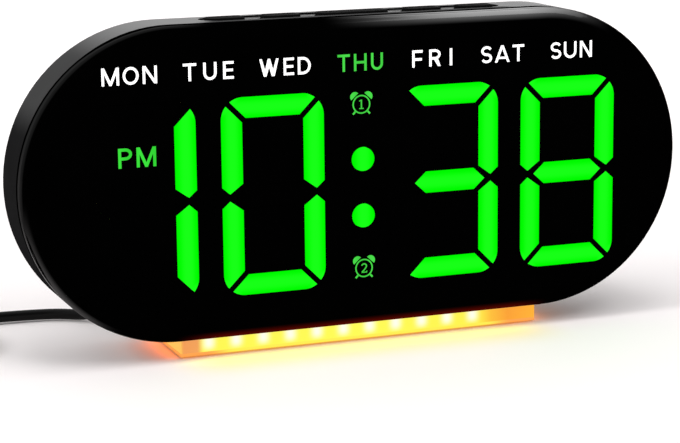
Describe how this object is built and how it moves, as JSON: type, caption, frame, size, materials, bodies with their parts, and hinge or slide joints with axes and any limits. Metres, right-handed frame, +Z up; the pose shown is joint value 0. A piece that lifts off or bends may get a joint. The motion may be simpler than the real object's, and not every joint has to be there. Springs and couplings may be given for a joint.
{
  "type": "digital desk clock",
  "caption": "Stadium-shaped digital clock with a glossy black face of glowing digits, on a lit base bar, with top keys and a power lead.",
  "frame": {"origin": "on the desk, under the middle of the clock's box, measured without the free lead", "axes": "+X along the face to the viewer's right, +Y from the face to the back, +Z up; the face looks along -Y"},
  "size_m": [0.2423, 0.0919, 0.0877],
  "materials": {
    "lens": "mirror-like deep black",
    "lit_digit": "glowing green when lit",
    "dark_digit": "smoked, nearly black when unlit",
    "reflector": "matte white",
    "circuit_board": "green solder mask",
    "led": "pale yellow phosphor",
    "chip": "matte black",
    "capacitor": "satin",
    "connector": "off-white",
    "screw": "zinc plated",
    "housing": "satin black",
    "cover": "fine-grained matte black",
    "cell": "brushed",
    "contact": "sprung brass",
    "switch": "matte",
    "plunger": "light grey",
    "ribbon": "grey ribbon",
    "key": "satin black",
    "light_bar": "clear bar that glows warm yellow",
    "base_plate": "frosted, amber in the glow",
    "foot": "matte rubber",
    "lamp_strip": "white strip board",
    "lamp": "yellow phosphor",
    "wire": "red and black pair",
    "jack": "black",
    "cord": "satin black",
    "tie": "black band",
    "plug_metal": "nickel plated",
    "tongue": "white"
  },
  "bodies": {
    "clock": {"front_lens": "lens", "digit_1_lit": "lit_digit", "digit_2_lit": "lit_digit", "digit_3_lit": "lit_digit", "digit_4_lit": "lit_digit", "colon_dots": "lit_digit", "digit_1_dark": "dark_digit", "digit_2_dark": "dark_digit", "digit_3_dark": "dark_digit", "display_reflector": "reflector", "display_board": "circuit_board", "display_leds": "led", "controller_chip": "chip", "capacitors": "capacitor", "board_connectors": "connector", "board_screws": "screw", "housing": "housing", "rear_cover": "cover", "cover_screws": "screw", "buzzer": "chip", "coin_cell": "cell", "cell_contacts": "contact", "key_switches": "switch", "key_board": "circuit_board", "key_ribbon": "ribbon", "light_bar": "light_bar", "base_plate": "base_plate", "base_screws": "screw", "feet": "foot", "light_board": "lamp_strip", "base_lamps": "lamp", "light_wires": "wire", "power_jack": "jack", "jack_wires": "wire", "power_plug": "cord", "power_pin": "plug_metal", "cord_run": "cord", "cord_coil": "cord", "cord_tail": "cord", "cord_tie": "tie", "usb_body": "cord", "usb_shell": "plug_metal", "usb_tongue": "tongue"},
    "key_outer_left": {"key_outer_left": "key", "plunger_outer_left": "plunger"},
    "key_inner_left": {"key_inner_left": "key", "plunger_inner_left": "plunger"},
    "key_wide": {"key_wide": "key", "plunger_wide": "plunger"},
    "key_inner_right": {"key_inner_right": "key", "plunger_inner_right": "plunger"},
    "key_outer_right": {"key_outer_right": "key", "plunger_outer_right": "plunger"},
    "battery_cap": {"battery_cap": "cover"}
  },
  "joints": [
    {"name": "key_outer_left_press", "type": "slide", "parent": "clock", "child": "key_outer_left", "axis": [0, 0, -1], "range_m": [0, 0.0006], "stiffness_N_per_m": 800, "springref_m": -0.0005},
    {"name": "key_inner_left_press", "type": "slide", "parent": "clock", "child": "key_inner_left", "axis": [0, 0, -1], "range_m": [0, 0.0006], "stiffness_N_per_m": 800, "springref_m": -0.0005},
    {"name": "key_wide_press", "type": "slide", "parent": "clock", "child": "key_wide", "axis": [0, 0, -1], "range_m": [0, 0.0006], "stiffness_N_per_m": 800, "springref_m": -0.0005},
    {"name": "key_inner_right_press", "type": "slide", "parent": "clock", "child": "key_inner_right", "axis": [0, 0, -1], "range_m": [0, 0.0006], "stiffness_N_per_m": 800, "springref_m": -0.0005},
    {"name": "key_outer_right_press", "type": "slide", "parent": "clock", "child": "key_outer_right", "axis": [0, 0, -1], "range_m": [0, 0.0006], "stiffness_N_per_m": 800, "springref_m": -0.0005},
    {"name": "battery_cap_turn", "type": "hinge", "parent": "clock", "child": "battery_cap", "pos_m": [0.044, 0.0165, 0.0433], "axis": [0, -1, 0], "range_deg": [0, 50]}
  ]
}
